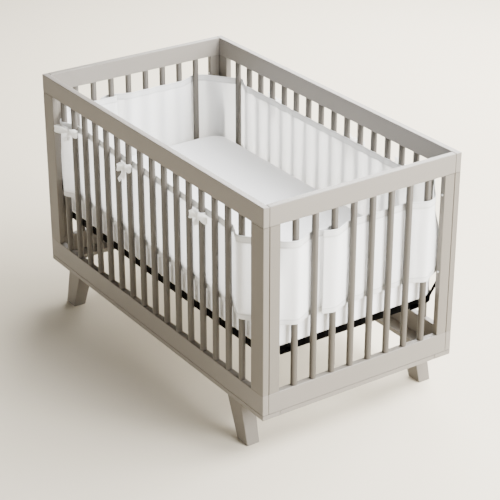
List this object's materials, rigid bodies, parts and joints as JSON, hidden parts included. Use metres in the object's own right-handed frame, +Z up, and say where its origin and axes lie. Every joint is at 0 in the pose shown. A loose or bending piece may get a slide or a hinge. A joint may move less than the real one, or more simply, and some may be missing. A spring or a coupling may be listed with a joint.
{
  "type": "crib bumper on a crib with mattress",
  "caption": "Breathable mesh crib liner woven through the slats of a painted wooden crib and tied with satin bows, round a mattress in a plain fitted sheet.",
  "frame": {"origin": "on the floor, under the centre of the crib", "axes": "+X along the long sides, +Y from the front side to the back side, +Z up"},
  "size_m": [1.3848, 0.7988, 0.865],
  "materials": {
    "paint": "satin warm grey paint",
    "steel": "black powder coat",
    "sheet": "plain white cotton",
    "mesh_cloth": "white breathable mesh",
    "satin": "white satin ribbon"
  },
  "bodies": {
    "root": {"front_bottom_rail": "paint", "front_top_rail": "paint", "front_left_stile": "paint", "front_right_stile": "paint", "front_slat_01": "paint", "front_slat_02": "paint", "front_slat_03": "paint", "front_slat_04": "paint", "front_slat_05": "paint", "front_slat_06": "paint", "front_slat_07": "paint", "front_slat_08": "paint", "front_slat_09": "paint", "front_slat_10": "paint", "front_slat_11": "paint", "front_slat_12": "paint", "front_slat_13": "paint", "front_slat_14": "paint", "front_slat_15": "paint", "front_slat_16": "paint", "back_bottom_rail": "paint", "back_top_rail": "paint", "back_left_stile": "paint", "back_right_stile": "paint", "back_slat_01": "paint", "back_slat_02": "paint", "back_slat_03": "paint", "back_slat_04": "paint", "back_slat_05": "paint", "back_slat_06": "paint", "back_slat_07": "paint", "back_slat_08": "paint", "back_slat_09": "paint", "back_slat_10": "paint", "back_slat_11": "paint", "back_slat_12": "paint", "back_slat_13": "paint", "back_slat_14": "paint", "back_slat_15": "paint", "back_slat_16": "paint", "left_end_panel": "paint", "right_end_panel": "paint", "front_base_board": "paint", "back_base_board": "paint", "left_base_board": "paint", "right_base_board": "paint", "front_left_foot": "paint", "front_right_foot": "paint", "back_left_foot": "paint", "back_right_foot": "paint", "mattress": "sheet", "mattress_frame": "steel", "liner_front": "mesh_cloth", "liner_back": "mesh_cloth", "front_bow_1": "satin", "front_bow_2": "satin", "front_bow_3": "satin", "back_bow_1": "satin", "back_bow_2": "satin", "back_bow_3": "satin"}
  },
  "joints": []
}
